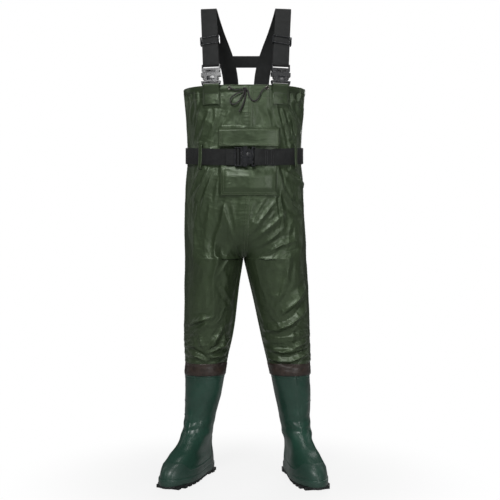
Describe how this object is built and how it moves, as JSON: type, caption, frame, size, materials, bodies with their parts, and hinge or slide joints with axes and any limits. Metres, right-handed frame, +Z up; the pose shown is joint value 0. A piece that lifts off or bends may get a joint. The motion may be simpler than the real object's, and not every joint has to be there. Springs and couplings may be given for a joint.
{
  "type": "chest waders",
  "caption": "Chest waders: olive coated-cloth bib and legs welded to rubber boots, webbing shoulder straps and belt with side-release buckles, front pocket and hem drawcord.",
  "frame": {"origin": "midway between the two shoulder straps, at the underside of their highest points, where the wearer's shoulders carry them", "axes": "+Z up, -Y to the front of the garment, +X to the viewer's right as the front is seen"},
  "size_m": [0.5283, 0.2945, 1.4872],
  "materials": {
    "wader_cloth": "satin coated nylon, dark olive green",
    "bib_facing": "satin coated nylon, inside face",
    "webbing": "matt woven webbing",
    "drawcord": "matt braided cord",
    "buckle_plastic": "moulded, half gloss",
    "eyelet_metal": "dulled",
    "seam_tape": "satin",
    "boot_rubber": "satin moulded PVC, dark teal green",
    "sole_rubber": "matt",
    "insole_fabric": "felt"
  },
  "bodies": {
    "bib": {"left_front_panel": "wader_cloth", "right_front_panel": "wader_cloth", "left_back_panel": "wader_cloth", "right_back_panel": "wader_cloth", "hem_facing": "bib_facing", "left_eyelet": "eyelet_metal", "right_eyelet": "eyelet_metal", "drawcord_ring": "drawcord", "drawcord_left_run": "drawcord", "drawcord_right_run": "drawcord", "drawcord_knot": "drawcord", "drawcord_loop": "drawcord", "drawcord_tail": "drawcord", "pocket_pouch": "wader_cloth", "left_buckle_tab": "wader_cloth", "right_buckle_tab": "wader_cloth", "left_buckle_female": "buckle_plastic", "right_buckle_female": "buckle_plastic", "belt_buckle_female": "buckle_plastic", "belt_strap": "webbing", "front_left_belt_loop": "wader_cloth", "front_right_belt_loop": "wader_cloth", "back_left_belt_loop": "wader_cloth", "back_right_belt_loop": "wader_cloth", "left_strap_anchor": "webbing", "right_strap_anchor": "webbing", "left_hip_cloth": "wader_cloth", "right_hip_cloth": "wader_cloth"},
    "suspenders": {"left_strap": "webbing", "right_strap": "webbing", "cross_strap": "webbing", "left_buckle_male": "buckle_plastic", "right_buckle_male": "buckle_plastic", "left_strap_return": "webbing", "right_strap_return": "webbing"},
    "left_slider": {"left_slider": "buckle_plastic"},
    "right_slider": {"right_slider": "buckle_plastic"},
    "belt_release": {"belt_buckle_male": "buckle_plastic", "belt_wrap": "webbing"},
    "pocket_flap": {"pocket_flap": "wader_cloth"},
    "left_buckle_prong_a": {"left_buckle_prong_a": "buckle_plastic"},
    "left_buckle_prong_b": {"left_buckle_prong_b": "buckle_plastic"},
    "right_buckle_prong_a": {"right_buckle_prong_a": "buckle_plastic"},
    "right_buckle_prong_b": {"right_buckle_prong_b": "buckle_plastic"},
    "belt_buckle_prong_a": {"belt_buckle_prong_a": "buckle_plastic"},
    "belt_buckle_prong_b": {"belt_buckle_prong_b": "buckle_plastic"},
    "left_thigh": {"left_thigh": "wader_cloth", "left_knee_cloth": "wader_cloth"},
    "left_lower_leg": {"left_shin": "wader_cloth", "left_boot_tape": "seam_tape", "left_boot": "boot_rubber", "left_outsole": "sole_rubber", "left_insole": "insole_fabric"},
    "right_thigh": {"right_thigh": "wader_cloth", "right_knee_cloth": "wader_cloth"},
    "right_lower_leg": {"right_shin": "wader_cloth", "right_boot_tape": "seam_tape", "right_boot": "boot_rubber", "right_outsole": "sole_rubber", "right_insole": "insole_fabric"}
  },
  "joints": [
    {"name": "suspenders_fold_back", "type": "hinge", "parent": "bib", "child": "suspenders", "pos_m": [0, 0.12319, -0.263], "axis": [-1, 0, 0], "range_deg": [0, 165]},
    {"name": "left_slider_slide", "type": "slide", "parent": "suspenders", "child": "left_slider", "axis": [-0.051, 0.3798, 0.9237], "range_m": [-0.04, 0.04], "deforming": ["left_strap_return"]},
    {"name": "right_slider_slide", "type": "slide", "parent": "suspenders", "child": "right_slider", "axis": [0.0509, 0.3828, 0.9224], "range_m": [-0.04, 0.04], "deforming": ["right_strap_return"]},
    {"name": "belt_buckle_release", "type": "slide", "parent": "bib", "child": "belt_release", "axis": [-1, 0, 0], "range_m": [0, 0.03], "deforming": ["belt_buckle_prong_a", "belt_buckle_prong_b"]},
    {"name": "left_buckle_squeeze_b", "type": "hinge", "parent": "suspenders", "child": "left_buckle_prong_b", "pos_m": [-0.09084, -0.11403, -0.2244], "axis": [0.2079, 0.9731, -0.0995], "range_deg": [0, 8], "stiffness_Nm_per_rad": 0.3},
    {"name": "left_buckle_squeeze_a", "type": "hinge", "parent": "suspenders", "child": "left_buckle_prong_a", "pos_m": [-0.12116, -0.10762, -0.22506], "axis": [-0.2079, -0.9731, 0.0995], "range_deg": [0, 8], "stiffness_Nm_per_rad": 0.3},
    {"name": "right_buckle_squeeze_b", "type": "hinge", "parent": "suspenders", "child": "right_buckle_prong_b", "pos_m": [0.12116, -0.10817, -0.22506], "axis": [-0.2079, 0.9731, -0.0993], "range_deg": [0, 8], "stiffness_Nm_per_rad": 0.3},
    {"name": "right_buckle_squeeze_a", "type": "hinge", "parent": "suspenders", "child": "right_buckle_prong_a", "pos_m": [0.09084, -0.11458, -0.2244], "axis": [0.2079, -0.9731, 0.0993], "range_deg": [0, 8], "stiffness_Nm_per_rad": 0.3},
    {"name": "belt_buckle_squeeze_b", "type": "hinge", "parent": "belt_release", "child": "belt_buckle_prong_b", "pos_m": [-0.0088, -0.12995, -0.4675], "axis": [0, 1, 0], "range_deg": [0, 8], "stiffness_Nm_per_rad": 0.3},
    {"name": "belt_buckle_squeeze_a", "type": "hinge", "parent": "belt_release", "child": "belt_buckle_prong_a", "pos_m": [-0.0088, -0.12995, -0.4985], "axis": [0, -1, 0], "range_deg": [0, 8], "stiffness_Nm_per_rad": 0.3},
    {"name": "pocket_flap_lift", "type": "hinge", "parent": "bib", "child": "pocket_flap", "pos_m": [0.009, -0.12304, -0.3914], "axis": [-1, 0, 0], "range_deg": [0, 130]},
    {"name": "left_hip_swing", "type": "hinge", "parent": "bib", "child": "left_thigh", "pos_m": [-0.101, -0.0062, -0.697], "axis": [-1, 0, 0], "range_deg": [-20, 90], "deforming": ["left_hip_cloth"]},
    {"name": "left_knee_bend", "type": "hinge", "parent": "left_thigh", "child": "left_lower_leg", "pos_m": [-0.118, -0.014, -0.996], "axis": [1, 0, 0], "range_deg": [0, 75], "deforming": ["left_knee_cloth"]},
    {"name": "right_hip_swing", "type": "hinge", "parent": "bib", "child": "right_thigh", "pos_m": [0.1, -0.0092, -0.697], "axis": [-1, 0, 0], "range_deg": [-20, 90], "deforming": ["right_hip_cloth"]},
    {"name": "right_knee_bend", "type": "hinge", "parent": "right_thigh", "child": "right_lower_leg", "pos_m": [0.122, -0.014, -0.996], "axis": [1, 0, 0], "range_deg": [0, 75], "deforming": ["right_knee_cloth"]}
  ],
  "couplings": [
    {"joint": "left_buckle_squeeze_a", "follows": "left_buckle_squeeze_b", "ratio": 1},
    {"joint": "right_buckle_squeeze_a", "follows": "right_buckle_squeeze_b", "ratio": 1},
    {"joint": "belt_buckle_squeeze_a", "follows": "belt_buckle_squeeze_b", "ratio": 1}
  ]
}
